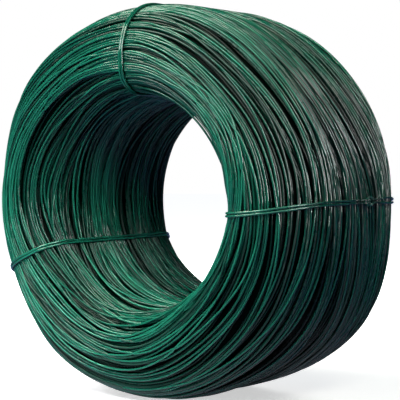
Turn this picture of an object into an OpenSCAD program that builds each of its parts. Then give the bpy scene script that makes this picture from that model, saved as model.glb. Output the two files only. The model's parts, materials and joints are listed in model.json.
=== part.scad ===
// Coil of coated fencing wire, wound on a bobbin, slipped off it and held by three doubled wire ties.
// The origin is the centre of the bore. The bore runs along Y, and the coil stands on its rim, Z up.

/* [Wire] */
// Diameter of the wire over its coating
wire_d = 2.2; // [1.6:0.1:3]
// How far neighbouring turns nest into each other
turn_lap = 0.2; // [0.1:0.05:0.4]

/* [Coil] */
// Diameter of the bore
bore_d = 200; // [150:1:212]
// Diameter over the outermost turns
coil_d = 376; // [364:1:440]
// Width of the coil along its bore
coil_w = 206; // [130:1:280]
// Rounding from the bore wall to the ends
bore_edge_r = 26; // [16:1:32]
// Rounding from the ends to the rim
rim_edge_r = 54; // [40:1:60]
// Fewest turns side by side in a bundle
bundle_min = 4; // [2:1:6]
// Most turns side by side in a bundle
bundle_max = 8; // [6:1:12]
// How deep the single turn between two bundles lies below them
sunk_depth = 3; // [1:0.5:4]

/* [Ties] */
// Diameter of the tie wire
tie_d = 2.2; // [1.6:0.1:2.8]
// Clearance between a tie and the turns under it
tie_gap = 0.35; // [0.3:0.05:0.6]
// Clearance between the two legs of a tie
leg_gap = 0.1; // [0.1:0.05:0.5]
// Place of the right tie round the bore, in degrees from +X towards +Z
right_tie_angle = -4; // [-20:1:20]
// How much further round the coil the right tie is at the rim
right_lead_angle = 5; // [-8:1:8]
// Place of the top tie round the coil
top_tie_angle = 92; // [70:1:110]
// Place of the left tie round the coil
left_tie_angle = 203; // [180:1:225]
// Inner radius of the eye at the fold of a tie
eye_r = 2.6; // [2.6:0.1:4]
// Length of the cut ends that are folded back through the eye
tail_len = 6; // [3:0.5:10]
// Distance of the right knot from the middle of the rim, along the bore
right_knot_y = 15; // [0:1:30]
// Distance of the left knot from the middle of the rim, along the bore
left_knot_y = 20; // [0:1:30]

/* [Hidden] */
$fn = 48;
wire_green = "#1d6b4b";
tie_green = "#2a7d5b";

bore_r = bore_d / 2;
coil_r = coil_d / 2;
half_w = coil_w / 2;
wire_r = wire_d / 2;
tie_r = tie_d / 2;

// The rounding at the rim is limited by the wall and the width that it is on
rim_round_r = min(rim_edge_r, coil_r - bore_r - bore_edge_r, half_w);

// Centres of the two roundings in the section, given as [radius, distance along the bore]
bore_edge = [bore_r + bore_edge_r, half_w - bore_edge_r];
rim_edge = [coil_r - rim_round_r, half_w - rim_round_r];
degrees = 180 / PI;

// The ties bed into slots in the bore wall, so that the bore stays clear.
// A slot is deep enough for its tie to bend out of it without touching its edge.
leg_z = tie_r + leg_gap / 2;
bed_r = bore_r + tie_gap + tie_r;
slot_r = bed_r + tie_r + 2 * tie_gap;
slot_w = 2 * (leg_z + tie_r + tie_gap);

// The turns show from where the slots have run out to the middle of the rim
plain_turn = acos((bore_edge_r - slot_r + bore_r) / bore_edge_r) + degrees * wire_d / bore_edge_r;
plain_step = 4;
bore_arc_len = (90 - plain_turn) / degrees * bore_edge_r;
end_len = rim_edge[0] - bore_edge[0];
rim_arc_len = 90 / degrees * rim_round_r;
half_len = bore_arc_len + end_len + rim_arc_len + rim_edge[1];
turns = round(half_len / (wire_d - turn_lap));
turn_step = half_len / turns;

// Each turn shows as a ridge with a flat crest: half the crest's width, its depth and that of the valley
crest_turn = 22.5;
crest_half = wire_r * sin(crest_turn);
crest_in = wire_r * (1 - cos(crest_turn));
valley_in = wire_r - sqrt(wire_r * wire_r - turn_step * turn_step / 4);

// The turns lie in bundles of changing size, and one sunk turn parts each bundle from the next
bundle_sizes = round(bundle_max) - round(bundle_min) + 1;
bundle_hop = 3;
function bundle(n) = round(bundle_min) + bundle_hop * n % bundle_sizes;
function sunk_turn(n) = bundle(n) + (n == 0 ? 0 : sunk_turn(n - 1) + 1);
sunk_turns = [for (n = 0, i = sunk_turn(0); i < turns; n = n + 1, i = sunk_turn(n)) i];
function turn_in(i) = len([for (k = sunk_turns) if (k == i) k]) > 0 ? sunk_depth : 0;

// Point at a radius and an angle from a centre in the section
function polar(centre, r, a) = centre + r * [cos(a), sin(a)];

// Point at a distance along the outline, from the bore to the middle of the rim, and a depth below it
function outline(s, in) =
    s < bore_arc_len ? polar(bore_edge, bore_edge_r - in, 180 - plain_turn - degrees * s / bore_edge_r) :
    s < bore_arc_len + end_len ? [bore_edge[0] + s - bore_arc_len, half_w - in] :
    s < bore_arc_len + end_len + rim_arc_len ?
        polar(rim_edge, rim_round_r - in, 90 - degrees * (s - bore_arc_len - end_len) / rim_round_r) :
    [coil_r - in, half_len - s];

// Half of the section's outline: the smooth rounding beside the bore, then the ridges
half_outline = concat(
    [for (a = [0:plain_step:plain_turn - plain_step / 2]) polar(bore_edge, bore_edge_r, 180 - a)],
    [polar(bore_edge, bore_edge_r, 180 - plain_turn)],
    [for (i = [0:turns - 1]) let (middle = (i + 0.5) * turn_step) each [
        outline(middle - turn_step / 2, max(turn_in(i - 1), turn_in(i)) + valley_in),
        outline(middle - crest_half, turn_in(i) + crest_in),
        outline(middle + crest_half, turn_in(i) + crest_in)
    ]]
);

// Section of the coil with its turns
module section() polygon(concat(
    half_outline,
    [outline(half_len, turn_in(turns - 1) + valley_in)],
    [for (i = [len(half_outline) - 1:-1:0]) [half_outline[i][0], -half_outline[i][1]]]
));

// Turns a tie's own frame, with X outwards, Y along the bore and Z round the coil, to its place
module at_tie(angle) rotate([0, -angle, 0]) children();

// Slot in the bore wall for one tie
module tie_slot() {
    depth = slot_r - bore_r;
    translate([bore_r - depth, -coil_w, -slot_w / 2]) cube([2 * depth, 2 * coil_w, slot_w]);
}

module wire_coil() color(wire_green) difference() {
    rotate([90, 0, 0]) rotate_extrude() section();
    at_tie(right_tie_angle) tie_slot();
    at_tie(top_tie_angle) tie_slot();
    at_tie(left_tie_angle) tie_slot();
}

// Line of a tie round the section: half of it, from the middle of the bore to the middle of the rim,
// as [radius, distance along the bore, angle of the outward side]
lift = tie_gap + tie_r;
arc_step = 7.5;
over_bore_r = bore_edge_r + lift;
over_rim_r = rim_round_r + lift;
bend_r = 4 * tie_d;
bend_in = bore_edge[0] - bed_r - bend_r;
bend_y = bore_edge[1] + sqrt(pow(over_bore_r - bend_r, 2) - bend_in * bend_in);
bend_turn = acos(bend_in / (over_bore_r - bend_r));
tie_half_pieces = [
    ["run", [bed_r, 0], [bed_r, bend_y], 180],
    ["arc", [bed_r + bend_r, bend_y], bend_r, 180, 180 - bend_turn],
    ["arc", bore_edge, over_bore_r, 180 - bend_turn, 90],
    ["run", bore_edge + [0, over_bore_r], rim_edge + [0, over_rim_r], 90],
    ["arc", rim_edge, over_rim_r, 90, 0],
    ["run", rim_edge + [over_rim_r, 0], [coil_r + lift, 0], 0]
];

function piece_len(p) = p[0] == "run" ? norm(p[2] - p[1]) : p[2] * abs(p[4] - p[3]) / degrees;
function piece_at(p, t) =
    p[0] == "run" ? concat(p[1] + t * (p[2] - p[1]), [p[3]]) :
    let (a = p[3] + t * (p[4] - p[3])) concat(polar(p[1], p[2], a), [a]);
function sum_len(n) = n == 0 ? 0 : piece_len(tie_half_pieces[n - 1]) + sum_len(n - 1);
tie_half_len = sum_len(len(tie_half_pieces));
tie_len = 2 * tie_half_len;

function half_at(s, i = 0) =
    let (p = tie_half_pieces[i], l = piece_len(p))
    s <= l || i == len(tie_half_pieces) - 1 ? piece_at(p, s / l) : half_at(s - l, i + 1);

// The whole line, closed, by distance from the middle of the bore
function tie_line(s) =
    s < 0 ? tie_line(s + tie_len) :
    s >= tie_len ? tie_line(s - tie_len) :
    s <= tie_half_len ? half_at(s) :
    let (q = half_at(tie_len - s)) [q[0], -q[1], -q[2]];

// Distances at which the line is sampled, closer together on the roundings
half_stations = [
    for (i = [0:len(tie_half_pieces) - 1])
        let (
            p = tie_half_pieces[i],
            n = p[0] == "run" ? 1 : ceil(abs(p[4] - p[3]) / arc_step)
        )
        for (k = [0:n - 1]) sum_len(i) + k / n * piece_len(p)
];
stations = concat(half_stations, [tie_half_len],
    [for (i = [len(half_stations) - 1:-1:1]) tie_len - half_stations[i]]);

// One half of the folded tie, from its fold at the eye, round the coil, up through the eye and back over the fold.
// Points are [distance along the line, distance across it, height above it].
eye_line_r = eye_r + tie_r;
eye_h = tie_d + leg_gap;
eye_open = 50;
eye_step = 26;
half_knot = 4 * eye_line_r;
// How a leg leaves the eye: [eye radii along, share of the way out to the eye's side, share of the eye's height]
eye_neck = [[1.6, 0.5, 0.8], [2.6, 0, 0.3], [3.4, 0, 0]];
function folded_half(knot_s) =
    let (fold_s = knot_s + tie_len - sqrt(eye_line_r * eye_line_r - leg_z * leg_z))
    concat(
        [for (a = [180:-eye_step:eye_open]) [knot_s + eye_line_r * cos(a), eye_line_r * sin(a), eye_h]],
        [for (n = eye_neck) [knot_s + n[0] * eye_line_r, leg_z + n[1] * (eye_line_r - leg_z), n[2] * eye_h]],
        [for (k = [0, 1]) for (s = stations)
            if (s + k * tie_len > knot_s + half_knot && s + k * tie_len < fold_s - half_knot)
                [s + k * tie_len, leg_z, 0]],
        [for (k = [3:-1:1]) [fold_s - k * eye_line_r, leg_z, 0]],
        [for (a = [-90:22.5:90]) [fold_s + eye_h * cos(a), leg_z, eye_h + eye_h * sin(a)]],
        [[fold_s - tail_len, leg_z, 2 * eye_h]]
    );

// Place in the tie's own frame of a point given along, across and above the line.
// Past its slot a tie swings on round the coil, by its whole lead at the rim.
// Its line runs by the far side first, or by the near side where side is -1.
free_r = slot_r + tie_r;
function tie_point(p, lead, side) =
    let (
        q = tie_line(p[0]),
        out = polar([q[0], q[1]], p[2], q[2]),
        swing = lead * max(q[0] - free_r, 0) / (coil_r + lift - free_r)
    )
    [out[0] * cos(swing) - p[1] * sin(swing), side * out[1], out[0] * sin(swing) + p[1] * cos(swing)];

function unit(v) = v / norm(v);
// Direction square to t that lies nearest to n
function square_to(n, t) = unit(n - (n * t) * t);

// Round tube along a list of points
module tube(points, r, sides = 8) {
    last = len(points) - 1;
    tangents = [for (i = [0:last]) unit(points[min(i + 1, last)] - points[max(i - 1, 0)])];
    sideways = [for (i = 0, n = square_to([0.1, 0.2, 1], tangents[0]);
        i <= last;
        i = i + 1, n = i <= last ? square_to(n, tangents[i]) : n) n];
    rings = [for (i = [0:last]) let (u = sideways[i], v = cross(tangents[i], u))
        for (k = [0:sides - 1]) points[i] + r * (cos(360 * k / sides) * u + sin(360 * k / sides) * v)];
    walls = [for (i = [0:last - 1]) for (k = [0:sides - 1])
        let (a = i * sides + k, b = i * sides + (k + 1) % sides)
        each [[a, a + sides, b], [b, a + sides, b + sides]]];
    caps = [[for (k = [0:sides - 1]) k], [for (k = [sides - 1:-1:0]) last * sides + k]];
    polyhedron(rings, concat(walls, caps));
}

// One wire folded double round the coil, its cut ends hooked back through the eye at its fold
module tie(knot_s, lead = 0, side = 1) color(tie_green) {
    half = folded_half(knot_s);
    other = [for (i = [len(half) - 1:-1:1]) [half[i][0], -half[i][1], half[i][2]]];
    tube([for (p = concat(other, half)) tie_point(p, lead, side)], tie_r);
}

// The right and left knots are on the rim, past its middle, and the top one is on the rounding behind it.
// The fold of the right tie points to the near end, and that of the others to the far end.
right_knot = tie_half_len + right_knot_y;
left_knot = tie_half_len - left_knot_y;
back_knot = tie_half_len - rim_edge[1] - 45 / degrees * over_rim_r;

module tie_right() at_tie(right_tie_angle) tie(right_knot, right_lead_angle, -1);
module tie_top() at_tie(top_tie_angle) tie(back_knot);
module tie_left() at_tie(left_tie_angle) tie(left_knot);

wire_coil();
tie_right();
tie_top();
tie_left();
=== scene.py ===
"""Looks of a coil of green coated wire that stands on its rim and is held by three doubled wire ties.

Lengths are in metres, in the part's own frame: the bore runs along Y, and the origin is its centre.
An angle round the coil is counted from +X towards +Z, in radians.
"""

import json
import logging
import math
from dataclasses import dataclass
from enum import Enum

import bpy
import numpy as np
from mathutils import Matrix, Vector


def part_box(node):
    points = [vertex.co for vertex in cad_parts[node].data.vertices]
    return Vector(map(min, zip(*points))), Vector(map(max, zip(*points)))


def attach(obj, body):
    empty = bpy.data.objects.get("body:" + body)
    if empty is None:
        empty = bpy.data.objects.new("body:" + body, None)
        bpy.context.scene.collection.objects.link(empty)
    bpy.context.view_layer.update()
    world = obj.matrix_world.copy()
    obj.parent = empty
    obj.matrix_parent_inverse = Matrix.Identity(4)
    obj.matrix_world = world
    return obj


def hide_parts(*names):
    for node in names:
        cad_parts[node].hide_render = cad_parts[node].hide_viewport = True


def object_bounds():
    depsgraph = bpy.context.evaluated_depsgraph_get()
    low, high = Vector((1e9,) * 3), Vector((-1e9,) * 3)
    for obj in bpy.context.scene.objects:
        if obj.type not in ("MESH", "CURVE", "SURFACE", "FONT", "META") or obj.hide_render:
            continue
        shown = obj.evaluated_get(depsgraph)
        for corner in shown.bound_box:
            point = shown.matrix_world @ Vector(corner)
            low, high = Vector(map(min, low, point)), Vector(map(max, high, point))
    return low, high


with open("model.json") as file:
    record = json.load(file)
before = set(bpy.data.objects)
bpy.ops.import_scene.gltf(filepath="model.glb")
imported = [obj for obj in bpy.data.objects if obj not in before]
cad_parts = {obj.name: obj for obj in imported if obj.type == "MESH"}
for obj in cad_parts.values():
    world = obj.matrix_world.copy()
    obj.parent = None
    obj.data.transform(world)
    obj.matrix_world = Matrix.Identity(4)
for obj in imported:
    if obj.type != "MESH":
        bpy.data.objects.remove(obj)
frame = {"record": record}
CAD_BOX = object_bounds()

LOG = logging.getLogger("wire_coil")
MM = 0.001
DEG = math.pi / 180.0
FULL_TURN = 2.0 * math.pi

# Shade of most wires, from 0 for the darkest to 1 for the palest
MIDDLE_TONE = 0.5
# Colour of the lamps that shine from above
WARM = (1.0, 1.0, 0.85)

# Two ends of a range, a place or a colour, and what a node's inputs take
Span = tuple[float, float]
Triple = tuple[float, float, float]
Socket = bpy.types.NodeSocket
Colour = Socket | tuple[float, ...]
Inputs = dict[str | int, Colour | float]


class Row(Enum):
    """Where a turn lies in the winding."""

    LOOSE = "loose"
    TOP = "top"
    UNDER = "under"
    INNER = "inner"


class Region(Enum):
    """Side of the coil that a turn shows on."""

    BORE = "bore"
    NEAR_END = "near_end"
    RIM = "rim"
    FAR_END = "far_end"


class Gives(Enum):
    """What a lamp gives to a surface: all its light, only its reflection, or no reflection."""

    ALL = "all"
    SHEEN = "sheen"
    MATT = "matt"


def smooth_step(x: np.ndarray) -> np.ndarray:
    """Rises from 0 to 1 as x goes from 0 to 1, level at both ends: 3x^2 - 2x^3."""
    x = np.clip(x, 0.0, 1.0)
    return x * x * (3.0 - 2.0 * x)


def angle_between(a: np.ndarray, b: np.ndarray | float) -> np.ndarray:
    """Signed difference a - b of angles, from -pi to pi."""
    return (a - b + math.pi) % FULL_TURN - math.pi


def around(count: int) -> np.ndarray:
    """Angles of points that are spread evenly round a full turn."""
    return np.arange(count) * FULL_TURN / count


def unit(rows: np.ndarray) -> np.ndarray:
    """Vectors brought to length 1, one in each row."""
    return rows / np.linalg.norm(rows, axis=1, keepdims=True)


def mesh_object(
    name: str, points: np.ndarray, quads: np.ndarray, caps: list[list[int]] | None = None
) -> bpy.types.Object:
    """Makes a smooth-shaded mesh object from whole arrays.

    Args:
        name: Name of the object and of its mesh.
        points: Vertex places, one row each.
        quads: Corner numbers of the four-sided faces, one row each.
        caps: Corner numbers of any other faces.

    Returns:
        The object, linked to the scene, at the origin.
    """
    mesh = bpy.data.meshes.new(name)
    mesh.from_pydata(points.tolist(), [], quads.tolist() + (caps or []))
    mesh.polygons.foreach_set("use_smooth", np.ones(len(mesh.polygons), dtype=bool))
    mesh.update()
    made = bpy.data.objects.new(name, mesh)
    bpy.context.scene.collection.objects.link(made)
    return made


def point_attribute(made: bpy.types.Object, name: str, values: np.ndarray) -> None:
    """Stores one number for each vertex under a name that a material can read."""
    layer = made.data.attributes.new(name, "FLOAT", "POINT")
    layer.data.foreach_set("value", np.ascontiguousarray(values, dtype=np.float32).ravel())


def grid_quads(rows: int, columns: int, closed_rows: bool) -> np.ndarray:
    """Faces of a grid of points that closes round its columns.

    Corner (i, k) joins (i, k+1), (i+1, k+1) and (i+1, k). k wraps round, and i does too if it is closed.

    Args:
        rows: Count of rings.
        columns: Count of points in a ring.
        closed_rows: Whether the last ring joins the first.

    Returns:
        Corner numbers, four to a face.
    """
    rings = np.arange(rows if closed_rows else rows - 1)
    i, k = np.meshgrid(rings, np.arange(columns), indexing="ij")
    here = i * columns
    ahead = (i + 1) % rows * columns
    beside = (k + 1) % columns
    return np.stack([here + k, here + beside, ahead + beside, ahead + k], axis=-1).reshape(-1, 4)


@dataclass(frozen=True)
class Section:
    """Section of the coil: a rectangle with two small roundings at the bore and two large ones at the rim.

    Attributes:
        bore_r: Radius of the bore.
        coil_r: Radius over the outermost turns.
        half_w: Half of the width along the bore.
        bore_edge: Radius of the roundings at the bore.
        rim_edge: Radius of the roundings at the rim.
    """

    bore_r: float
    coil_r: float
    half_w: float
    bore_edge: float
    rim_edge: float

    # Points on each rounding
    ARC_POINTS = 64

    @classmethod
    def from_frame(cls, rim_edge: float) -> "Section":
        """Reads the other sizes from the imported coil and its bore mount.

        Args:
            rim_edge: Radius of the roundings at the rim.

        Returns:
            The section.
        """
        low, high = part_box("wire_coil")
        bore = next(m for m in frame["record"]["mounts"] if m["name"] == "spindle_bore")
        half_w = (high.y - low.y) / 2.0
        return cls(
            bore_r=bore["dims"]["r_mm"] * MM,
            coil_r=(high.z - low.z) / 2.0,
            half_w=half_w,
            bore_edge=half_w - bore["dims"]["length_mm"] * MM / 2.0,
            rim_edge=rim_edge,
        )

    def table(self, inset: float) -> np.ndarray:
        """Closed outline at an inset, from the bore wall's middle by the far end, the rim and the near end.

        Each rounding is an arc about its own centre, and straight lines join the arcs.

        Args:
            inset: Distance of the line below the outline.

        Returns:
            Rows of distance along the outline, radius, place along the bore, and the two parts of the
            outward normal.
        """
        bore_c = (self.bore_r + self.bore_edge, self.half_w - self.bore_edge)
        rim_c = (self.coil_r - self.rim_edge, self.half_w - self.rim_edge)
        sweep = np.linspace(0.0, math.pi / 2.0, self.ARC_POINTS)
        arcs = (
            (bore_c[0], bore_c[1], self.bore_edge - inset, math.pi - sweep),
            (rim_c[0], rim_c[1], self.rim_edge - inset, math.pi / 2.0 - sweep),
            (rim_c[0], -rim_c[1], self.rim_edge - inset, -sweep),
            (bore_c[0], -bore_c[1], self.bore_edge - inset, -math.pi / 2.0 - sweep),
        )
        wall = self.bore_r + inset
        r = np.concatenate([[wall], *[c + a * np.cos(t) for c, _, a, t in arcs], [wall]])
        y = np.concatenate([[0.0], *[c + a * np.sin(t) for _, c, a, t in arcs], [0.0]])
        turn = np.concatenate([[math.pi], *[t for *_, t in arcs], [-math.pi]])
        along = np.concatenate([[0.0], np.cumsum(np.hypot(np.diff(r), np.diff(y)))])
        return np.stack([along, r, y, np.cos(turn), np.sin(turn)], axis=1)


@dataclass(frozen=True)
class SectionLine:
    """Line round the section that turns are placed from.

    Attributes:
        table: Rows as Section.table gives them.
    """

    table: np.ndarray

    @property
    def length(self) -> float:
        """Length of the line."""
        return float(self.table[-1, 0])

    def look_up(self, s: np.ndarray) -> list[np.ndarray]:
        """Radius, place along the bore and outward normal at distances along the line, which wraps round."""
        return [np.interp(s % self.length, self.table[:, 0], column) for column in self.table.T[1:]]

    def place(self, s: np.ndarray, depth: np.ndarray) -> tuple[np.ndarray, np.ndarray]:
        """Point of the line at a distance along it, moved inwards along the normal by a depth.

        Args:
            s: Distances along the line.
            depth: Depths below it.

        Returns:
            Radii and places along the bore.
        """
        r, y, out_r, out_y = self.look_up(s)
        return r - depth * out_r, y - depth * out_y


@dataclass(frozen=True)
class TieSeat:
    """Where a tie goes round the coil.

    Attributes:
        angle: Its angle round the coil in the bore.
        lead: How much further round it is at the rim.
        knot: Distance of the knot along the tie from the middle of the rim, towards the far end.
        towards_near: Whether the fold of the tie points to the near end.
        slot: Distance from the bore wall over which the tie keeps to its slot.
    """

    angle: float
    lead: float
    knot: float
    towards_near: bool
    slot: float = 4.35 * MM

    def angle_at(self, r: np.ndarray, section: Section) -> np.ndarray:
        """Angle of the tie at radii: the bore's in its slot, then in proportion to the radius to the rim."""
        start = section.bore_r + self.slot
        return self.angle + self.lead * np.clip((r - start) / (section.coil_r - start), 0.0, 1.0)


@dataclass(frozen=True)
class Bulge:
    """Place at the rim where the coil is out of round.

    Attributes:
        angle: Angle of its middle round the coil.
        spread: Angle from its middle to its edge.
        lean: Which way the outline faces along the bore at its middle: -1 the near end, 1 the far end.
        height: Height of its middle.
    """

    angle: float
    spread: float
    lean: float
    height: float


@dataclass(frozen=True)
class Gather:
    """Place round the coil where the bundles draw together and leave gaps.

    Attributes:
        angle: Angle of its middle round the coil.
        spread: Angle over which it fades on both sides.
        share: Share of its width that a bundle loses there.
    """

    angle: float
    spread: float
    share: float


@dataclass(frozen=True)
class Furrow:
    """Broad hollow in the bore wall, all the way round.

    Attributes:
        middle: Distance of its middle along the section from that of the bore wall, towards the far end.
        spread: Distance over which it fades on both sides.
        depth: Depth of its middle.
    """

    middle: float
    spread: float
    depth: float


@dataclass(frozen=True)
class Slant:
    """Way that the turns of one side lie aslant round the coil.

    Attributes:
        middle: Where the turns are most aslant: a distance from the middle of the rim towards the near end.
        reach: Distances over which the slant fades, towards the far end and towards the near end.
        course: Rising angles round the coil, each with how far the turns there lie off towards the near end.
    """

    middle: float
    reach: Span
    course: tuple[Span, ...]

    def off(self, angles: np.ndarray, beside: np.ndarray) -> np.ndarray:
        """How far turns lie off: the course, eased from angle to angle, times a hill across the section.

        Args:
            angles: Angles of the points round a turn.
            beside: Distance of each turn from the middle of the rim, towards the near end.

        Returns:
            Distances along the section line, one row for each angle and one column for each turn.
        """
        at, by = np.array(self.course).T
        at = np.append(at, at[0] + FULL_TURN)
        by = np.append(by, by[0])
        turned = at[0] + (angles - at[0]) % FULL_TURN
        k = np.searchsorted(at, turned, side="right") - 1
        eased = by[k] + (by[k + 1] - by[k]) * smooth_step((turned - at[k]) / (at[k + 1] - at[k]))
        away = beside - self.middle
        hill = smooth_step(1.0 - np.abs(away) / np.where(away < 0.0, *self.reach))
        return eased[:, None] * hill


@dataclass(frozen=True)
class Bed:
    """One row of turns, laid side by side in bundles.

    Attributes:
        row: Which row it is.
        depth: Depth of its highest turns.
        heights: Range of the bundles' heights.
        dome: How much deeper a bundle's outer wires lie than its middle.
        uneven: How much deeper than the others a single wire can lie.
        wires: Fewest and most wires side by side in a bundle.
        pitch: Mean distance from wire to wire in a bundle, in wire diameters.
        jitter: How much these distances vary, as a share of them.
        gap: Narrowest and widest gap between bundles.
        sway: How far a bundle wanders.
        fan: How much a bundle spreads and closes round the coil, as a share of its width.
        flare: How much wider a bundle is where a tie presses it flat, as a share of its width.
        calm: How much more even the depths are under a tie, as a share.
        cross_share: Share of the turns that cross to a neighbouring bundle.
        cross_reach: Least and greatest distance that these turns cross.
    """

    row: Row
    depth: float
    heights: float
    dome: float
    uneven: float
    wires: tuple[int, int]
    pitch: float
    jitter: float
    gap: Span
    sway: float
    fan: float
    flare: float
    calm: float
    cross_share: float
    cross_reach: Span


@dataclass(frozen=True)
class Winding:
    """Turns of the coil that show, laid as bundles that wander and press on each other.

    Attributes:
        section: Section of the coil.
        seats: Ties, under which the turns are pressed in.
        beds: Rows of bundles, from outside.
        bulges: Places where the coil is out of round.
        gathers: Places where the bundles draw together.
        furrows: Hollows of the bore wall.
        slants: Sides where the turns lie aslant.
        wire_r: Radius of the coated wire.
        segments: Points round each turn.
        sides: Sides of the wire.
        bob: How far a bundle rises and sinks.
        stray: How far each turn wanders by itself.
        sweep: How far neighbouring turns wander together.
        sweep_places: Count of places along the section that this shared wander is eased between.
        cross_span: Least and greatest half of the angle over which a turn that crosses stays over.
        cross_slope: Least and greatest angle over which it goes there and back.
        loose: Count of loose turns that lie across the others.
        loose_sway: How far a loose turn wanders.
        loose_share: Share of the loose turns that cross far over.
        loose_reach: Least and greatest distance that these cross.
        press_out: How deep a tie presses the turns at the ends and the rim.
        press_bore: How deep a tie presses the turns in the bore.
        press_reach: Angle over which the turns rise beside a tie.
        flare_reach: Angle over which the bundles close up again beside a tie.
        rounds: Rounds of pressing the turns apart.
        inner_depth: Depth of the inner turns below the outline.
        inner_step: How many points of the outline lie between two that the inner turns use.
        seed: Seed of every random draw.
    """

    section: Section
    seats: tuple[TieSeat, ...]
    beds: tuple[Bed, ...] = (
        Bed(
            Row.TOP, depth=0.0, heights=1.3 * MM, dome=1.0 * MM, uneven=1.5 * MM,
            wires=(3, 8), pitch=1.12, jitter=0.8, gap=(0.2 * MM, 3.2 * MM), sway=3.6 * MM,
            fan=0.25, flare=0.2, calm=0.35, cross_share=0.45, cross_reach=(4.0 * MM, 15.0 * MM),
        ),
        Bed(
            Row.UNDER, depth=2.3 * MM, heights=1.6 * MM, dome=0.9 * MM, uneven=1.0 * MM,
            wires=(4, 10), pitch=1.12, jitter=0.7, gap=(0.0, 1.6 * MM), sway=3.0 * MM,
            fan=0.15, flare=0.1, calm=0.6, cross_share=0.4, cross_reach=(3.0 * MM, 11.0 * MM),
        ),
    )
    bulges: tuple[Bulge, ...] = (
        Bulge(angle=-38.0 * DEG, spread=36.0 * DEG, lean=0.6, height=9.0 * MM),
        Bulge(angle=138.0 * DEG, spread=34.0 * DEG, lean=-0.7, height=4.5 * MM),
        Bulge(angle=236.0 * DEG, spread=28.0 * DEG, lean=-0.6, height=3.5 * MM),
    )
    gathers: tuple[Gather, ...] = (
        Gather(angle=-45.0 * DEG, spread=22.0 * DEG, share=0.35),
        Gather(angle=160.0 * DEG, spread=20.0 * DEG, share=0.25),
    )
    furrows: tuple[Furrow, ...] = (
        Furrow(middle=-95.0 * MM, spread=5.0 * MM, depth=2.0 * MM),
        Furrow(middle=-57.0 * MM, spread=5.0 * MM, depth=3.0 * MM),
        Furrow(middle=-29.0 * MM, spread=5.0 * MM, depth=3.0 * MM),
        Furrow(middle=20.0 * MM, spread=6.0 * MM, depth=3.5 * MM),
        Furrow(middle=49.0 * MM, spread=5.0 * MM, depth=3.0 * MM),
        Furrow(middle=85.0 * MM, spread=6.0 * MM, depth=3.0 * MM),
    )
    slants: tuple[Slant, ...] = (
        Slant(
            middle=0.0,
            reach=(190.0 * MM, 140.0 * MM),
            course=(
                (-110.0 * DEG, -40.0 * MM), (-45.0 * DEG, -40.0 * MM), (0.0, -26.0 * MM),
                (45.0 * DEG, 18.0 * MM), (110.0 * DEG, 18.0 * MM),
            ),
        ),
        Slant(
            middle=140.0 * MM,
            reach=(100.0 * MM, 90.0 * MM),
            course=(
                (-50.0 * DEG, 5.0 * MM), (45.0 * DEG, 5.0 * MM), (95.0 * DEG, -13.0 * MM),
                (130.0 * DEG, -13.0 * MM), (180.0 * DEG, -23.0 * MM), (230.0 * DEG, -7.0 * MM),
                (265.0 * DEG, -7.0 * MM),
            ),
        ),
    )
    wire_r: float = 1.1 * MM
    segments: int = 144
    sides: int = 6
    bob: float = 0.5 * MM
    stray: float = 0.8 * MM
    sweep: float = 5.0 * MM
    sweep_places: int = 14
    cross_span: Span = (0.5, 2.6)
    cross_slope: Span = (0.7, 1.7)
    loose: int = 34
    loose_sway: float = 3.0 * MM
    loose_share: float = 0.7
    loose_reach: Span = (5.0 * MM, 16.0 * MM)
    press_out: float = 1.2 * MM
    press_bore: float = 2.6 * MM
    press_reach: float = 9.0 * DEG
    flare_reach: float = 16.0 * DEG
    rounds: int = 36
    inner_depth: float = 7.0 * MM
    inner_step: int = 4
    seed: int = 7

    # More bundles than fit round the section
    BUNDLE_DRAWS = 400
    # Power that leaves most bundles high and few low
    HEIGHT_POWER = 1.3
    # Highest counts of waves a turn, by what wanders
    BUNDLE_WAVES = 4
    TURN_WAVES = 16
    DEPTH_WAVES = 9
    LOOSE_WAVES = 2
    SWEEP_WAVES = 3
    # How far a turn's depth wanders, as a share of its row's unevenness
    DEPTH_STRAY = 0.4
    # Power that keeps the calm close beside a tie
    CALM_POWER = 6
    # Turns on each side that press on a turn, and shares of a push and of the easing made in a round
    NEIGHBOURS = 8
    PUSH_SHARE = 0.6
    EASE_SHARE = 0.12
    TINY = 1e-9
    # How far the outline faces inwards where the ties sink to their slots, and over how much more they do
    SLOT_FROM = 0.35
    SLOT_OVER = 0.5
    # How far the outline faces outwards where bulges start, and over how much more they rise and lean
    BULGE_FROM = 0.1
    BULGE_OVER = 0.6
    BULGE_LEAN = 1.2
    # How far the outline faces inwards in the bore, and outwards at the rim
    SIDE_FACING = 0.7

    def angles(self) -> np.ndarray:
        """Angles of the points round a turn."""
        return around(self.segments)

    def line(self) -> SectionLine:
        """Line through the middle of a wire that lies on the outline."""
        return SectionLine(self.section.table(self.wire_r))

    def wander(self, random: np.random.Generator, count: int, size: float, waves: int) -> np.ndarray:
        """Smooth closed curves: sums of cosines of 1 to several waves a turn, of random size and start.

        Args:
            random: Source of the draws.
            count: Count of curves.
            size: Root mean square of a curve.
            waves: Highest count of waves a turn.

        Returns:
            Values, one row for each angle and one column for each curve.
        """
        k = np.arange(1, waves + 1)
        sizes = random.normal(size=(waves, count)) / np.sqrt(k)[:, None]
        starts = random.uniform(0.0, FULL_TURN, size=(waves, count))
        waves_at = np.cos(self.angles()[:, None, None] * k[None, :, None] + starts[None])
        curves = (sizes[None] * waves_at).sum(axis=1)
        return size * curves / math.sqrt(0.5 * float((1.0 / k).sum()))

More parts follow.
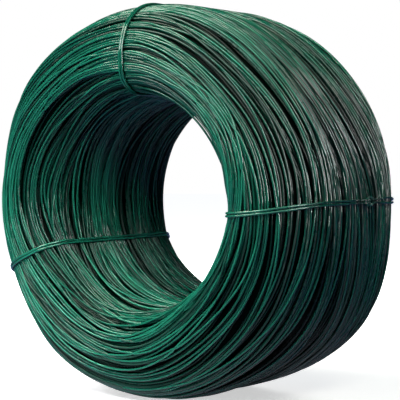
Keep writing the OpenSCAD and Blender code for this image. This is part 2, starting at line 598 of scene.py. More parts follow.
    def crossing(self, random: np.random.Generator, share: float, reach: Span, count: int) -> np.ndarray:
        """Ways that some turns cross over: level, then over by a distance for part of the turn, and back.

        Args:
            random: Source of the draws.
            share: Share of the turns that cross.
            reach: Least and greatest distance.
            count: Count of turns.

        Returns:
            Distances along the section line, one row for each angle and one column for each turn.
        """
        over = random.choice([-1.0, 1.0], size=count) * random.uniform(*reach, size=count)
        over *= random.uniform(size=count) < share
        start = random.uniform(0.0, FULL_TURN, size=count)
        span = random.uniform(*self.cross_span, size=count)
        slope = random.uniform(*self.cross_slope, size=count)
        aside = np.abs(angle_between(self.angles()[:, None], start))
        return over * smooth_step((span - aside) / slope + 0.5)

    def near_tie(self) -> np.ndarray:
        """Nearness of a tie at each angle round a turn: 1 at a tie, falling as a bell curve on both sides.

        Returns:
            Numbers from 0 to 1 in one column.
        """
        middles = [seat.angle + seat.lead / 2.0 for seat in self.seats]
        aside = [angle_between(self.angles(), middle) / self.flare_reach for middle in middles]
        return np.exp(-np.min(np.abs(aside), axis=0) ** 2)[:, None]

    def gathered(self) -> np.ndarray:
        """Share of its width that a bundle loses at each angle, in one column: a sum of bell curves."""
        aside = [(angle_between(self.angles(), place.angle) / place.spread) ** 2 for place in self.gathers]
        return sum(place.share * np.exp(-away) for place, away in zip(self.gathers, aside))[:, None]

    def furrowed(self, place: np.ndarray) -> np.ndarray:
        """Depth that the furrows add to turns: the greatest of their bell curves.

        Args:
            place: Places of the turns along the section line.

        Returns:
            Depths, one for each turn.
        """
        total = self.line().length
        along = (place + total / 2.0) % total - total / 2.0
        aside = [(along - furrow.middle) / furrow.spread for furrow in self.furrows]
        bells = [furrow.depth * np.exp(-away ** 2) for furrow, away in zip(self.furrows, aside)]
        return np.max(bells, axis=0)

    def lay_bed(self, bed: Bed, random: np.random.Generator) -> tuple[np.ndarray, np.ndarray, np.ndarray]:
        """Lays one row of turns, before they press on each other.

        A turn's place is its bundle's middle, plus its own place in the bundle times the bundle's spread,
        plus its bundle's wander and its own. A bundle is domed: its outer wires lie deeper. It spreads by
        itself, and most where a tie presses it flat. Some turns cross to the next bundle and back.

        Args:
            bed: The row.
            random: Source of the draws.

        Returns:
            First places along the section line, then distances along it and depths, a column for each turn.
        """
        total = self.line().length
        pitch = 2.0 * self.wire_r * bed.pitch
        widths = random.integers(bed.wires[0], bed.wires[1] + 1, size=self.BUNDLE_DRAWS)
        gaps = random.uniform(*bed.gap, size=self.BUNDLE_DRAWS)
        room = widths * pitch + gaps
        ends = np.cumsum(room)
        count = int(np.searchsorted(ends, total))
        widths = widths[:count]
        middles = (ends[:count] - room[:count] / 2.0) * total / ends[count - 1]
        heights = bed.heights * random.uniform(size=count) ** self.HEIGHT_POWER

        owner = np.repeat(np.arange(count), widths)
        order = np.concatenate([np.arange(w) for w in widths])
        turns = len(order)
        jitter = random.uniform(-0.5, 0.5, size=turns) * bed.jitter
        offset = (order - (widths[owner] - 1) / 2.0 + jitter) * pitch
        dome = (2.0 * offset / (widths[owner] * pitch)) ** 2 * bed.dome
        place = middles[owner] + offset
        fan = self.wander(random, count, bed.fan, self.BUNDLE_WAVES)[:, owner]
        spread = fan + bed.flare * self.near_tie() - self.gathered()

        s = place + offset * spread + self.wander(random, count, bed.sway, self.BUNDLE_WAVES)[:, owner]
        s += self.wander(random, turns, self.stray, self.TURN_WAVES)
        s += self.crossing(random, bed.cross_share, bed.cross_reach, turns)
        d = heights[owner] + dome + self.wander(random, count, self.bob, self.BUNDLE_WAVES)[:, owner]
        sunk = bed.uneven * random.uniform(size=turns)
        d += sunk + self.wander(random, turns, self.DEPTH_STRAY * bed.uneven, self.DEPTH_WAVES)
        d *= 1.0 - bed.calm * self.near_tie() ** self.CALM_POWER
        d += self.furrowed(place)
        return place, s, bed.depth + d

    def lay(self) -> tuple[np.ndarray, np.ndarray, np.ndarray]:
        """Lays every row and the loose turns, with the wander and the slant that neighbouring turns share.

        Returns:
            Distances along the section line and depths, one row for each angle and one column for each turn,
            and the row of each turn.
        """
        random = np.random.default_rng(self.seed)
        total = self.line().length
        parts = [self.lay_bed(bed, random) for bed in self.beds]
        place = random.uniform(0.0, total, size=self.loose)
        over = self.wander(random, self.loose, self.loose_sway, self.LOOSE_WAVES)
        over += self.crossing(random, self.loose_share, self.loose_reach, self.loose)
        parts.append((place, place + over, np.zeros_like(over)))
        names = [*[bed.row for bed in self.beds], Row.LOOSE]
        rows = np.repeat(names, [len(part[0]) for part in parts])
        place, s, d = (np.concatenate(each, axis=-1) for each in zip(*parts))

        shared = self.wander(random, self.sweep_places, self.sweep, self.SWEEP_WAVES)
        at = (place / total * self.sweep_places) % self.sweep_places
        left = np.floor(at).astype(int)
        part = smooth_step(at - left)
        right = (left + 1) % self.sweep_places
        flow = shared[:, left % self.sweep_places] * (1.0 - part) + shared[:, right] * part
        for slant in self.slants:
            flow += slant.off(self.angles(), place - total / 2.0)
        return s + flow, d, rows

    def press(self, s: np.ndarray) -> np.ndarray:
        """Depth that a tie presses the turns to: eased from that of the ends to that of the bore.

        Args:
            s: Distances along the section line.

        Returns:
            Depths of the same shape.
        """
        _, _, out_r, _ = self.line().look_up(s)
        in_bore = smooth_step((-out_r - self.SLOT_FROM) / self.SLOT_OVER)
        return self.press_out + (self.press_bore - self.press_out) * in_bore

    def pressed(self, s: np.ndarray) -> np.ndarray:
        """Least depth of a turn: what the ties press it to, falling as a bell curve beside each tie.

        Args:
            s: Distances along the section line, one row for each angle.

        Returns:
            Depths of the same shape.
        """
        r, _, _, _ = self.line().look_up(s)
        deep = self.press(s)
        least = np.zeros_like(s)
        for seat in self.seats:
            aside = angle_between(self.angles()[:, None], seat.angle_at(r, self.section))
            least = np.maximum(least, deep * np.exp(-(aside / self.press_reach) ** 2))
        return least

    def settle(self, s: np.ndarray, d: np.ndarray) -> tuple[np.ndarray, np.ndarray]:
        """Presses the turns apart until hardly any overlap, and keeps them smooth and inside the outline.

        In each round the turns are sorted along the section at every angle, each pair of near turns that
        overlap is moved apart by half of the overlap, along the line between them, and each turn is eased
        towards the mean of its neighbouring points.

        Args:
            s: Distances along the section line.
            d: Depths.

        Returns:
            The settled distances and depths.
        """
        total = self.line().length
        wire_d = 2.0 * self.wire_r
        for _ in range(self.rounds):
            order = np.argsort(s % total, axis=1)
            ss = np.take_along_axis(s % total, order, 1)
            dd = np.take_along_axis(d, order, 1)
            lap = np.take_along_axis(s, order, 1) - ss
            move_s = np.zeros_like(ss)
            move_d = np.zeros_like(dd)
            for k in range(1, self.NEIGHBOURS + 1):
                gap_s = np.roll(ss, -k, axis=1) - ss
                gap_s[:, -k:] += total
                gap_d = np.roll(dd, -k, axis=1) - dd
                far = np.hypot(gap_s, gap_d) + self.TINY
                push = 0.5 * np.maximum(wire_d - far, 0.0) / far
                move_s += np.roll(push * gap_s, k, axis=1) - push * gap_s
                move_d += np.roll(push * gap_d, k, axis=1) - push * gap_d
            np.put_along_axis(s, order, ss + lap + self.PUSH_SHARE * move_s, 1)
            np.put_along_axis(d, order, dd + self.PUSH_SHARE * move_d, 1)
            s += self.EASE_SHARE * (np.roll(s, 1, 0) + np.roll(s, -1, 0) - 2.0 * s)
            d += self.EASE_SHARE * (np.roll(d, 1, 0) + np.roll(d, -1, 0) - 2.0 * d)
            d = np.maximum(d, self.pressed(s))
        return s, d

    def raised(self, s: np.ndarray) -> np.ndarray:
        """Height that the bulges lift the turns by: a smooth hill round the coil and across the rim.

        Args:
            s: Distances along the section line, one row for each angle.

        Returns:
            Heights of the same shape.
        """
        _, _, out_r, out_y = self.line().look_up(s)
        on_rim = smooth_step((out_r - self.BULGE_FROM) / self.BULGE_OVER)
        height = np.zeros_like(s)
        for bulge in self.bulges:
            aside = np.abs(angle_between(self.angles()[:, None], bulge.angle)) / bulge.spread
            across = smooth_step(1.0 - np.abs(out_y - bulge.lean) / self.BULGE_LEAN) * on_rim
            height += bulge.height * smooth_step(1.0 - aside) * across
        return height

    def regions(self, s: np.ndarray) -> np.ndarray:
        """Side of the coil that each turn shows on, from the way that the outline faces at its mean place.

        Args:
            s: Distances along the section line, one column for each turn.

        Returns:
            One region for each turn.
        """
        _, _, out_r, out_y = self.line().look_up(s.mean(axis=0))
        faces = [out_r < -self.SIDE_FACING, out_r > self.SIDE_FACING, out_y > 0.0]
        return np.select(faces, [Region.BORE, Region.RIM, Region.FAR_END], Region.NEAR_END)

    def tubes(self, name: str, s: np.ndarray, d: np.ndarray, tone: np.ndarray) -> bpy.types.Object:
        """Joins round wires into one mesh.

        A wire's ring at each angle lies in the plane through the bore's axis: its middle, plus the wire's
        radius times the cosine outwards and the sine along the bore. Rings are turned round Y by their
        angle.

        Args:
            name: Name of the piece.
            s: Distances along the section line, one column for each wire.
            d: Depths.
            tone: Random shade of each wire, from 0 to 1.

        Returns:
            The piece.
        """
        r, y = self.line().place(s, d - self.raised(s))
        phi = around(self.sides)
        theta = self.angles()[None, :, None]
        ring_r = r.T[:, :, None] + self.wire_r * np.cos(phi)
        ring_y = y.T[:, :, None] + self.wire_r * np.sin(phi)
        points = np.stack([ring_r * np.cos(theta), ring_y, ring_r * np.sin(theta)], axis=-1)
        quads = grid_quads(self.segments, self.sides, closed_rows=True)
        first = np.arange(s.shape[1])[:, None, None] * self.segments * self.sides
        made = mesh_object(name, points.reshape(-1, 3), (quads[None] + first).reshape(-1, 4))
        shape = points.shape[:3]
        point_attribute(made, "wire_tone", np.broadcast_to(tone[:, None, None], shape))
        point_attribute(made, "wire_depth", np.broadcast_to(d.T[:, :, None] / MM, shape))
        return made

    def inner_turns(self) -> bpy.types.Object:
        """Closed surface of the turns below those that show: the outline at a depth, turned round Y, painted
        dark as their shade.

        Returns:
            The piece.
        """
        table = self.section.table(self.inner_depth)[:-1:self.inner_step]
        theta = self.angles()[:, None]
        r = table[None, :, 1]
        y = np.broadcast_to(table[None, :, 2], (self.segments, len(table)))
        points = np.stack([r * np.cos(theta), y, r * np.sin(theta)], axis=-1)
        quads = grid_quads(self.segments, len(table), closed_rows=True)[:, ::-1]
        made = mesh_object("inner_turns", points.reshape(-1, 3), quads)
        # Darkest tone and full depth: painted shade, so that it shows nearly black between the turns
        point_attribute(made, "wire_tone", np.zeros(y.shape))
        point_attribute(made, "wire_depth", np.full(y.shape, self.inner_depth / MM))
        return made

    def build(self, coatings: dict[Row, bpy.types.Material]) -> list[bpy.types.Object]:
        """Makes the turns: a piece for each side of the coil in each row, the loose and the inner turns.

        Args:
            coatings: Coating of each row.

        Returns:
            The pieces.
        """
        s, d, rows = self.lay()
        s, d = self.settle(s, d)
        tone = np.random.default_rng(self.seed + 1).uniform(size=len(rows))
        side = self.regions(s)
        picks = [
            (bed.row, f"{bed.row.value}_turns_{region.value}", (rows == bed.row) & (side == region))
            for bed in self.beds
            for region in Region
        ]
        picks.append((Row.LOOSE, "loose_turns", rows == Row.LOOSE))
        made = [(row, self.tubes(name, s[:, pick], d[:, pick], tone[pick])) for row, name, pick in picks]
        made.append((Row.INNER, self.inner_turns()))
        for row, piece in made:
            piece.data.materials.append(coatings[row])
        return [piece for _, piece in made]


@dataclass(frozen=True)
class Tie:
    """One wire folded double round the coil, with its cut ends hooked back through the eye at its fold.

    A point of the tie is given by its distances along and across the section line and its height above it.

    Attributes:
        name: Name of the piece.
        winding: Turns that the tie presses on.
        seat: Where it goes.
        wire_r: Radius of its wire.
        leg_gap: Gap between its two legs.
        eye_r: Half of the width of the eye, at the middle of its wire.
        eye_long: Length of the eye, in widths.
        eye_open: Angle from the eye's far side at which it opens to the legs.
        tail: Length of the cut ends.
        waver: How far a leg wavers to the side.
        waver_long: Length of such a waver, for each radian of its sine.
        splay: How far each leg stands out to the side beyond the knot.
        step: Distance between rings along the legs.
        sides: Sides of the wire.
        core_share: Share of the radius that the steel core takes.
        knot_light_reach: Distance from the knot over which painted light makes the wire paler.
    """

    name: str
    winding: Winding
    seat: TieSeat
    wire_r: float = 1.1 * MM
    leg_gap: float = 0.1 * MM
    eye_r: float = 3.7 * MM
    eye_long: float = 1.5
    eye_open: float = 50.0 * DEG
    tail: float = 6.0 * MM
    waver: float = 0.25 * MM
    waver_long: float = 17.0 * MM
    splay: float = 1.1 * MM
    step: float = 2.0 * MM
    sides: int = 12
    core_share: float = 0.72
    knot_light_reach: float = 22.0 * MM

    # Points on the eye's half, the hook and the cut end
    EYE_POINTS = 22
    HOOK_POINTS = 18
    TAIL_POINTS = 5
    # Distances in eye radii: over which a leg closes in, sinks, and calms down before the hook
    CLOSE_OVER = 2.0
    SINK_OVER = 2.2
    CALM_OVER = 6.0
    # Middle and spread of the splay, in eye radii
    SPLAY_AT = 11.0
    SPLAY_OVER = 5.0

    def half(self) -> np.ndarray:
        """Half of the tie, from its fold, round the coil and up through the eye, to its cut end.

        The fold is an arc of the eye. From its opening the leg closes in to its place and sinks to the
        turns, each by a smooth step, and wavers as a sine. Further on, the legs splay as a bell curve. At
        the end the leg hooks round the fold by a half circle and lies back over itself.

        Returns:
            Rows of distance along, distance across and height.
        """
        total = self.winding.line().length
        leg = self.wire_r + self.leg_gap / 2.0
        lift = 2.0 * self.wire_r + self.leg_gap
        turn = np.linspace(math.pi, self.eye_open, self.EYE_POINTS)
        eye_x = self.eye_long * self.eye_r * np.cos(turn)
        eye = np.stack([eye_x, self.eye_r * np.sin(turn), np.full_like(turn, lift)], axis=1)
        open_x, open_y, _ = eye[-1]
        fold = total - self.eye_long * math.sqrt(self.eye_r ** 2 - leg ** 2)

        s = np.arange(open_x + self.step / 2.0, fold - self.step / 2.0, self.step)
        closing = smooth_step((s - open_x) / (self.CLOSE_OVER * self.eye_r))
        sinking = smooth_step((s - self.eye_r) / (self.SINK_OVER * self.eye_r))
        calming = smooth_step((fold - s) / (self.CALM_OVER * self.eye_r))
        sway = np.abs(self.waver * np.sin(s / self.waver_long) * calming * closing)
        sway += self.splay * np.exp(-((s / self.eye_r - self.SPLAY_AT) / self.SPLAY_OVER) ** 2)
        legs = np.stack([s, open_y + (leg - open_y) * closing + sway, lift * (1.0 - sinking)], axis=1)

        bend = np.linspace(-math.pi / 2.0, math.pi / 2.0, self.HOOK_POINTS)
        hook_x = fold + lift * np.cos(bend)
        hook = np.stack([hook_x, np.full_like(bend, leg), lift + lift * np.sin(bend)], axis=1)
        back = np.linspace(0.0, self.tail, self.TAIL_POINTS)[1:]
        tail = np.stack([fold - back, np.full_like(back, leg), np.full_like(back, 2.0 * lift)], axis=1)
        half = np.concatenate([eye, legs, hook, tail])
        way = -1.0 if self.seat.towards_near else 1.0
        half[:, 0] = total / 2.0 - self.seat.knot + way * half[:, 0]
        return half

    def placed(
        self, along: np.ndarray, across: np.ndarray, height: np.ndarray
    ) -> tuple[np.ndarray, np.ndarray]:
        """Places points of the tie on the pressed turns.

        Args:
            along: Distances along the section line.
            across: Distances across it.
            height: Heights above the turns.

        Returns:
            Places and outward directions in the part's frame.
        """
        line = self.winding.line()
        seated = self.winding.press(along) - self.wire_r - self.winding.wire_r
        r, y = line.place(along, seated - height)
        _, _, out_r, out_y = line.look_up(along)
        turn = self.seat.angle_at(r, self.winding.section)
        c = np.cos(turn)
        t = np.sin(turn)
        points = np.stack([r * c - across * t, y, r * t + across * c], axis=1)
        return points, np.stack([out_r * c, out_y, out_r * t], axis=1)

    def tone(self, along: np.ndarray) -> np.ndarray:
        """Shade of the wire: middling, and smoothly paler towards the knot, as painted light for the light
        that the knot catches.

        Args:
            along: Distances along the section line.

        Returns:
            Shades from 0 to 1.
        """
        total = self.winding.line().length
        away = (along + self.seat.knot) % total - total / 2.0
        return MIDDLE_TONE + (1.0 - MIDDLE_TONE) * smooth_step(1.0 - np.abs(away) / self.knot_light_reach)

    def rings(self, line: np.ndarray) -> np.ndarray:
        """Carries a circle along the wire from one cut end to the other, with a smaller one at each end.

        The circle's first direction leans from outwards at the fold to sideways at the cut ends, so that it
        is never along the wire, and its second one is square to the first and to the wire.

        Args:
            line: Rows of distance along, distance across and height.

        Returns:
            Places, by ring and by side of the wire.
        """
        points, out = self.placed(*line.T)
        across = unit(np.stack([-points[:, 2], np.zeros(len(points)), points[:, 0]], axis=1))
        lean = np.linspace(-1.0, 1.0, len(line))
        lean = np.sign(lean) * smooth_step(np.abs(lean)) * math.pi / 2.0
        tangent = unit(np.gradient(points, axis=0))
        u = out * np.cos(lean)[:, None] + across * np.sin(lean)[:, None]
        u = unit(u - (u * tangent).sum(axis=1, keepdims=True) * tangent)
        v = np.cross(tangent, u)
        phi = around(self.sides)[:, None]
        circle = np.cos(phi) * u[:, None] + np.sin(phi) * v[:, None]
        ends = [0, -1]
        core = points[ends][:, None] + self.wire_r * self.core_share * circle[ends]
        return np.concatenate([core[:1], points[:, None] + self.wire_r * circle, core[1:]])

    def build(self, coating: bpy.types.Material, steel: bpy.types.Material) -> bpy.types.Object:
        """Makes the tie, with a disc of steel in a ring of coating at each cut end.

        Args:
            coating: Material of its wire.
            steel: Material of the discs.

        Returns:
            The piece.
        """
        half = self.half()
        mirror = half[:0:-1] * np.array([1.0, -1.0, 1.0])
        line = np.concatenate([mirror, half])
        rings = self.rings(line)
        count = len(rings)
        disc = np.arange(self.sides)
        discs = [disc[::-1].tolist(), (disc + (count - 1) * self.sides).tolist()]
        quads = grid_quads(count, self.sides, closed_rows=False)
        made = mesh_object(self.name, rings.reshape(-1, 3), quads, discs)
        faces = made.data.polygons
        cut = np.arange(len(faces)) >= len(faces) - len(discs)
        faces.foreach_set("material_index", cut.astype(np.int32))
        # Painted light: the wire is paler near the knot
        tone = np.pad(self.tone(line[:, 0]), 1, mode="edge")
        point_attribute(made, "wire_tone", np.broadcast_to(tone[:, None], rings.shape[:2]))
        point_attribute(made, "wire_depth", np.zeros(rings.shape[:2]))
        made.data.materials.append(coating)
        made.data.materials.append(steel)
        return made


@dataclass(frozen=True)
class Graph:
    """Node tree that takes each node with its inputs in one call.

    Attributes:
        tree: The tree.
    """

    tree: bpy.types.NodeTree

    # Numbers of a Mix node's two colours and of the colour that it gives
    FIRST_COLOUR = 6
    SECOND_COLOUR = 7
    MIXED_COLOUR = 2

    def feed(self, node: bpy.types.Node, inputs: Inputs) -> None:
        """Sets a node's inputs.

        Args:
            node: The node.
            inputs: Constants and other nodes' outputs, by the name or number of the input that takes them.
        """
        for key, value in inputs.items():
            if isinstance(value, Socket):
                self.tree.links.new(value, node.inputs[key])
            else:
                node.inputs[key].default_value = value

    def add(self, kind: str, inputs: Inputs | None = None, **settings: str) -> bpy.types.Node:
        """Adds a shader node.

        Args:
            kind: Its kind.
            inputs: What its inputs get, as in feed.
            settings: Values of its own settings.

        Returns:
            The node.
        """
        node = self.tree.nodes.new(f"ShaderNode{kind}")
        for name, value in settings.items():
            setattr(node, name, value)
        self.feed(node, inputs or {})
        return node

    def operate(self, operation: str, *numbers: Socket | float) -> Socket:
        """Result of an operation on numbers."""
        return self.add("Math", dict(enumerate(numbers)), operation=operation).outputs["Value"]

    def attribute(self, name: str) -> Socket:
        """One of the numbers that a piece stores for its vertices."""
        return self.add("Attribute", attribute_name=name).outputs["Fac"]

    def place(self) -> Socket:
        """Place in the object's own coordinates."""
        return self.add("TexCoord").outputs["Object"]

    def ranged(self, value: Socket, start: Span, end: Span, easing: str = "LINEAR") -> Socket:
        """Maps one range of numbers to another.

        Args:
            value: Number to map.
            start: Range that it comes from.
            end: Range that it goes to.
            easing: How it goes from one end of the range to the other.

        Returns:
            The mapped number.
        """
        inputs = dict(zip(("From Min", "From Max", "To Min", "To Max"), (*start, *end)))
        return self.add("MapRange", {"Value": value, **inputs}, interpolation_type=easing).outputs["Result"]

    def mix(self, share: Socket | float, first: Colour, second: Colour, way: str = "MIX") -> Socket:
        """Mixes two colours.

        Args:
            share: Share of the second colour.
            first: The first colour.
            second: The second colour, or a number to blend it with.
            way: How they are blended.

        Returns:
            The mixed colour.
        """
        inputs = {"Factor": share, self.FIRST_COLOUR: first, self.SECOND_COLOUR: second}
        return self.add("Mix", inputs, data_type="RGBA", blend_type=way).outputs[self.MIXED_COLOUR]

    def seen(self, mirrored: Socket) -> Socket:
        """Gives 1 to rays of the eye and through glass, a share to reflections and 0 to light.

        Args:
            mirrored: Share that reflections get.

        Returns:
            The number.
        """
        rays = self.add("LightPath").outputs
        gloss = self.operate("MULTIPLY", rays["Is Glossy Ray"], mirrored)
        direct = self.operate("MAXIMUM", rays["Is Camera Ray"], gloss)
        return self.operate("MAXIMUM", direct, rays["Is Transmission Ray"])


def new_finish(name: str) -> tuple[bpy.types.Material, Graph, bpy.types.Node]:
    """Starts a material.

    Args:
        name: Its name.

    Returns:
        The material, its nodes and its surface shader.
    """
    made = bpy.data.materials.new(name)
    made.use_nodes = True
    return made, Graph(made.node_tree), made.node_tree.nodes["Principled BSDF"]


@dataclass(frozen=True)
class CoatingFinish:
    """Smooth coloured coating of a wire.

    Attributes:
        name: Name of the material.
        dark: Colour of the darkest wires, in linear light.
        shade: Colour of most wires.
        pale: Colour of the palest wires.
        rough: Least and greatest roughness.
        dull: How much rougher the darkest wires are.
        specular: Specular level.
        painted_depth_shade: How much darker a wire is that lies deep: painted shade for the shade that the
            wires above cast on it.
        kink: Height of the slight bends along a wire, as a bump.
        grain: Height of the grain of the coating, as a bump.
    """

    name: str
    dark: Triple = (0.0015, 0.042, 0.0245)
    shade: Triple = (0.004, 0.1, 0.059)
    pale: Triple = (0.012, 0.19, 0.112)
    rough: Span = (0.1, 0.26)
    dull: float = 0.25
    specular: float = 0.5
    painted_depth_shade: float = 0.0
    kink: float = 3.4 * MM
    grain: float = 0.03 * MM

    # Waves a metre and finer layers of each noise
    PATCHES = (45.0, 3.0)
    GLOSS = (170.0, 2.0)
    KINKS = (45.0, 1.0)
    GRAIN = (1500.0, 2.0)
    # Ranges of the noise over which patches and gloss change, and the shares of the colour that patches keep
    PATCH_NOISE = (0.3, 0.7)
    PATCH_SHARES = (0.75, 1.2)
    GLOSS_NOISE = (0.35, 0.65)
    # Depths in millimetres over which painted shade darkens a wire, and shades over which it stops being
    # dull
    PAINTED_SHADE_DEPTHS = (0.5, 3.4)
    DULL_TONES = (0.0, MIDDLE_TONE)
    # How far apart the noises of the palest and the darkest wire lie
    APART = 30.0

    def noise(self, graph: Graph, scale: float, detail: float) -> Socket:
        """Noise that runs along each wire by itself.

        It is taken at the place on the coil, with the wire's own number added to the place along the bore,
        so that wires side by side differ.

        Args:
            graph: Nodes of the material.
            scale: Waves a metre.
            detail: Count of finer layers.

        Returns:
            The noise.
        """
        place = graph.add("SeparateXYZ", {"Vector": graph.place()}).outputs
        own = graph.operate("MULTIPLY_ADD", graph.attribute("wire_tone"), self.APART, place["Y"])
        moved = graph.add("CombineXYZ", {"X": place["X"], "Y": own, "Z": place["Z"]}).outputs["Vector"]
        return graph.add("TexNoise", {"Vector": moved, "Scale": scale, "Detail": detail}).outputs["Fac"]

    def material(self) -> bpy.types.Material:
        """Makes the material: shade by wire, dusty patches, painted shade that grows with depth, broken
        gloss, kinks and grain.

        Returns:
            The material.
        """
        made, graph, shader = new_finish(self.name)
        ramp = graph.add("ValToRGB", {"Fac": graph.attribute("wire_tone")})
        ramp.color_ramp.elements[0].color = (*self.dark, 1.0)
        ramp.color_ramp.elements[1].color = (*self.pale, 1.0)
        ramp.color_ramp.elements.new(MIDDLE_TONE).color = (*self.shade, 1.0)
        patches = graph.ranged(self.noise(graph, *self.PATCHES), self.PATCH_NOISE, self.PATCH_SHARES)
        # Painted shade: a wire that lies deeper is darker
        depth = graph.ranged(graph.attribute("wire_depth"), self.PAINTED_SHADE_DEPTHS, (1.0, 1.0 - self.painted_depth_shade))
        patched = graph.mix(1.0, ramp.outputs["Color"], patches, "MULTIPLY")

        gloss = graph.ranged(self.noise(graph, *self.GLOSS), self.GLOSS_NOISE, self.rough)
        dull = graph.ranged(graph.attribute("wire_tone"), self.DULL_TONES, (self.dull, 0.0))
        kinks = graph.add("Bump", {"Distance": self.kink, "Height": self.noise(graph, *self.KINKS)})
        grain = graph.add("Bump", {
            "Distance": self.grain,
            "Height": self.noise(graph, *self.GRAIN),
            "Normal": kinks.outputs["Normal"],
        })
        graph.feed(shader, {
            "Base Color": graph.mix(1.0, patched, depth, "MULTIPLY"),
            "Specular IOR Level": self.specular,
            "Roughness": graph.operate("ADD", gloss, dull),
            "Normal": grain.outputs["Normal"],
        })
        return made


@dataclass(frozen=True)
class SteelFinish:
    """Cut face of the steel core.

    Attributes:
        name: Name of the material.
        shade: Colour in linear light.
        rough: Least and greatest roughness.
        grain: Waves a metre of the grain that the cutters leave.
    """

    name: str
    shade: Triple = (0.42, 0.43, 0.45)
    rough: Span = (0.3, 0.6)
    grain: float = 4000.0

    def material(self) -> bpy.types.Material:
        """Makes the material: bare metal with a fine grain.

        Returns:
            The material.
        """
        made, graph, shader = new_finish(self.name)
        grain = graph.add("TexNoise", {"Vector": graph.place(), "Scale": self.grain})
        graph.feed(shader, {
            "Base Color": (*self.shade, 1.0),
            "Metallic": 1.0,
            "Roughness": graph.ranged(grain.outputs["Fac"], (0.0, 1.0), self.rough),
        })
        return made


@dataclass(frozen=True)
class FloorFinish:
    """Floor that is white to the eye, keeps the coil's shadow and throws little light back.

    Attributes:
        name: Name of the material.
        white: Colour that the eye sees.
        bounce: Colour of the light that it throws back on the coil.
        mirrored: Shares of its white that reflections show, beside the coil and further off.
        mirror_reach: Distances from the origin between which that share changes.
        glow: Least brightness, seen in the deepest shadow.
        shadow_reach: Distances from the origin between which the shadow fades out.
    """

    name: str
    white: Triple = (0.95, 0.95, 0.95)
    bounce: Triple = (0.02, 0.06, 0.22)
    mirrored: Span = (0.5, 0.08)
    mirror_reach: Span = (0.22, 0.36)
    glow: float = 0.6
    shadow_reach: Span = (0.35, 0.8)

    def material(self) -> bpy.types.Material:
        """Makes the material: a matt surface plus a glow that only the eye and reflections see.

        Returns:
            The material.
        """
        made, graph, shader = new_finish(self.name)
        graph.tree.nodes.remove(shader)
        away = graph.add("VectorMath", {0: graph.place()}, operation="LENGTH").outputs["Value"]
        seen = graph.seen(graph.ranged(away, self.mirror_reach, self.mirrored))
        colour = graph.mix(seen, (*self.bounce, 1.0), (*self.white, 1.0))
        fade = graph.ranged(away, self.shadow_reach, (self.glow, 1.0), "SMOOTHSTEP")
        matt = graph.add("BsdfDiffuse", {"Color": colour})
        glow = graph.add("Emission", {"Color": colour, "Strength": graph.operate("MULTIPLY", fade, seen)})
        both = graph.add("AddShader", {0: matt.outputs["BSDF"], 1: glow.outputs["Emission"]})
        graph.feed(graph.tree.nodes["Material Output"], {"Surface": both.outputs["Shader"]})
        return made


@dataclass(frozen=True)
class Lamp:
    """Soft lamp that faces the coil, with one side level.

    Attributes:
        name: Its name.
        towards: Direction of the lamp from the origin.
        size: Lengths of its sides, the level one first.
        level: Light that it gives to a surface that faces it, where 1 shows a colour as it is written.
        colour: Its colour.
        gives: What it gives to a surface.
        aim: Place that it faces.
        away: Its distance from the origin.
    """

    name: str
    towards: Triple
    size: Span
    level: float
    colour: Triple = (1.0, 1.0, 1.0)
    gives: Gives = Gives.ALL
    aim: Triple = (0.0, 0.0, 0.0)
    away: float = 1.5

    def light(self) -> bpy.types.Light:
        """Makes the light of an even panel, whose power for a level grows as its distance squared.

        Returns:
            The light.
        """
        data = bpy.data.lights.new(self.name, "AREA")
        data.shape = "RECTANGLE"
        data.size, data.size_y = self.size
        data.energy = self.level * (math.pi * self.away) ** 2
        data.color = self.colour
        return data

    def build(self) -> None:
        """Hangs the lamp in its place."""
        made = bpy.data.objects.new(self.name, self.light())
        made.location = Vector(self.towards).normalized() * self.away
        made.rotation_euler = (Vector(self.aim) - made.location).to_track_quat("-Z", "Y").to_euler()
        made.visible_diffuse = self.gives is not Gives.SHEEN
        made.visible_glossy = self.gives is not Gives.MATT
        bpy.context.scene.collection.objects.link(made)


@dataclass(frozen=True)
class SpotLamp(Lamp):
    """Soft spot lamp, whose size is its cone's angle and its own radius."""

    def light(self) -> bpy.types.Light:
        """Makes the light of a cone that fades all the way from its middle to its edge.

        Returns:
            The light.
        """
        data = bpy.data.lights.new(self.name, "SPOT")
        data.spot_size, data.shadow_soft_size = self.size
        data.spot_blend = 1.0
        data.energy = self.level * (FULL_TURN * self.away) ** 2
        data.color = self.colour
        return data


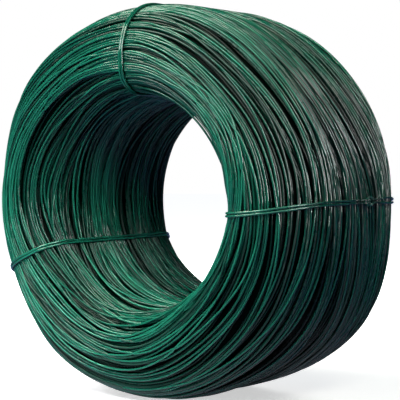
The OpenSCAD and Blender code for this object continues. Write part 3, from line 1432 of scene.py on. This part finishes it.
@dataclass(frozen=True)
class Studio:
    """Camera, lamps, floor and background.

    Attributes:
        azimuth: Direction of the camera round the part; 0 looks along +Y.
        elevation: Height of the camera above the horizon.
        distance: Distance of the camera from the origin.
        lens: Focal length on a 36 mm sensor.
        shift: Shift of the picture, in picture widths.
        floor_r: Radius of the floor.
        floor_points: Points on its edge.
        ambient: Colour of the light from all round.
        backdrop: Cosines of the angles from the middle of the backdrop at which it starts and is full.
        backdrop_mirrored: Share of the backdrop's white that reflections show.
        lamps: The lamps.
    """

    azimuth: float = 36.435 * DEG
    elevation: float = 2.144 * DEG
    distance: float = 1.3346
    lens: float = 122.74
    shift: Span = (0.0222, 0.0019)
    floor_r: float = 6.0
    floor_points: int = 96
    ambient: Triple = (0.012, 0.03, 0.05)
    backdrop: Span = (0.93, 0.99)
    backdrop_mirrored: float = 0.15
    lamps: tuple[Lamp, ...] = (
        Lamp("top_lamp", (-0.42, -0.42, 0.8), (1.1, 0.25), 1.05, colour=WARM),
        Lamp("upper_lamp", (-0.3, -0.8, 0.52), (0.7, 0.3), 0.42),
        Lamp("right_lamp", (0.64, -0.45, 0.62), (0.7, 0.3), 0.25, colour=WARM),
        Lamp("sheen_lamp", (0.45, -0.5, 0.74), (0.8, 0.4), 0.22, gives=Gives.SHEEN),
        Lamp("sheen_lamp_low", (0.74, -0.45, 0.46), (0.8, 0.4), 0.75, gives=Gives.SHEEN),
        Lamp("sheen_lamp_side", (0.97, -0.12, 0.2), (0.5, 0.4), 1.0, gives=Gives.SHEEN),
        Lamp("sheen_lamp_front", (0.1, -0.78, 0.61), (0.6, 0.4), 0.25, gives=Gives.SHEEN),
        Lamp("front_lamp", (-0.1, -0.99, 0.05), (0.7, 0.7), 0.4, gives=Gives.MATT),
        Lamp("back_lamp", (-0.5, 0.82, 0.28), (0.9, 0.6), 0.7, gives=Gives.MATT),
        SpotLamp(
            "bore_lamp", (0.5, -0.75, 0.43), (6.2 * DEG, 0.12), 3.5,
            gives=Gives.MATT, aim=(-0.105, -0.06, -0.115),
        ),
    )

    def camera(self) -> None:
        """Places the camera so that it looks at the origin."""
        data = bpy.data.cameras.new("camera")
        data.lens = self.lens
        data.shift_x, data.shift_y = self.shift
        made = bpy.data.objects.new("camera", data)
        flat = math.cos(self.elevation)
        made.location = (
            self.distance * math.sin(self.azimuth) * flat,
            -self.distance * math.cos(self.azimuth) * flat,
            self.distance * math.sin(self.elevation),
        )
        made.rotation_euler = (math.pi / 2.0 - self.elevation, 0.0, self.azimuth)
        bpy.context.scene.collection.objects.link(made)
        bpy.context.scene.camera = made

    def world(self) -> None:
        """Makes the world: white to the eye, mirrored only behind the coil, with dim light all round."""
        made = bpy.data.worlds.new("world")
        made.use_nodes = True
        graph = Graph(made.node_tree)
        ground = graph.tree.nodes["Background"]
        graph.feed(ground, {"Color": (*self.ambient, 1.0)})
        white = graph.add("Background", {"Color": (1.0, 1.0, 1.0, 1.0)})
        middle = (-math.sin(self.azimuth), math.cos(self.azimuth), 0.0)
        way = graph.add("TexCoord").outputs["Generated"]
        behind = graph.add("VectorMath", {0: way, 1: middle}, operation="DOT_PRODUCT").outputs["Value"]
        mirrored = graph.ranged(behind, self.backdrop, (0.0, self.backdrop_mirrored), "SMOOTHSTEP")
        mix = graph.add("MixShader", {
            "Fac": graph.seen(mirrored),
            1: ground.outputs["Background"],
            2: white.outputs["Background"],
        })
        graph.feed(graph.tree.nodes["World Output"], {"Surface": mix.outputs["Shader"]})
        bpy.context.scene.world = made

    def floor(self, height: float) -> None:
        """Lays the floor: one face whose edge is a circle.

        Args:
            height: Height of the floor.
        """
        theta = around(self.floor_points)
        edge = [self.floor_r * np.cos(theta), self.floor_r * np.sin(theta), np.full_like(theta, height)]
        face = list(range(self.floor_points))
        made = mesh_object("floor", np.stack(edge, axis=1), np.empty((0, 4), dtype=int), [face])
        made.data.materials.append(FloorFinish("floor_white").material())

    def build(self) -> None:
        """Makes the camera, the lamps, the world and the floor."""
        self.camera()
        for lamp in self.lamps:
            lamp.build()
        self.world()
        self.floor(float(CAD_BOX[0].z))
        bpy.context.scene.view_settings.view_transform = "Standard"


def main() -> None:
    """Builds the coil, its ties and the studio, and reports each piece."""
    logging.basicConfig(level=logging.INFO)
    # Every coating darkens deep wires as painted shade; the under and inner turns take darker copies with
    # less gloss, painted shade of the turns above them
    green = CoatingFinish("green_coating", painted_depth_shade=0.6).material()
    coatings = {
        Row.LOOSE: green,
        Row.TOP: green,
        Row.UNDER: CoatingFinish("under_painted_shade_coating", painted_depth_shade=0.85, specular=0.2).material(),
        Row.INNER: CoatingFinish("inner_painted_shade_coating", painted_depth_shade=0.96, specular=0.02).material(),
    }
    # Its pale colour shows only near the knot, as painted light
    tie_finish = CoatingFinish(
        "tie_green_coating", shade=(0.007, 0.135, 0.08), pale=(0.03, 0.4, 0.24), specular=0.55
    )
    tie_coating = tie_finish.material()
    steel = SteelFinish("cut_steel").material()
    seats = {
        "tie_right": TieSeat(angle=-4.0 * DEG, lead=5.0 * DEG, knot=15.0 * MM, towards_near=True),
        "tie_top": TieSeat(angle=92.0 * DEG, lead=0.0, knot=92.0 * MM, towards_near=False),
        "tie_left": TieSeat(angle=203.0 * DEG, lead=0.0, knot=20.0 * MM, towards_near=False),
    }
    winding = Winding(Section.from_frame(rim_edge=54.0 * MM), tuple(seats.values()))
    pieces = [(piece, "wire_coil", "wire_coating") for piece in winding.build(coatings)]
    for node, seat in seats.items():
        pieces.append((Tie(f"{node}_wire", winding, seat).build(tie_coating, steel), node, "tie_coating"))
    for piece, node, slot in pieces:
        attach(piece, "root")
        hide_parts(node)
        LOG.info("%s: %d faces", piece.name, len(piece.data.polygons))
    Studio().build()


if __name__ == "__main__":
    main()
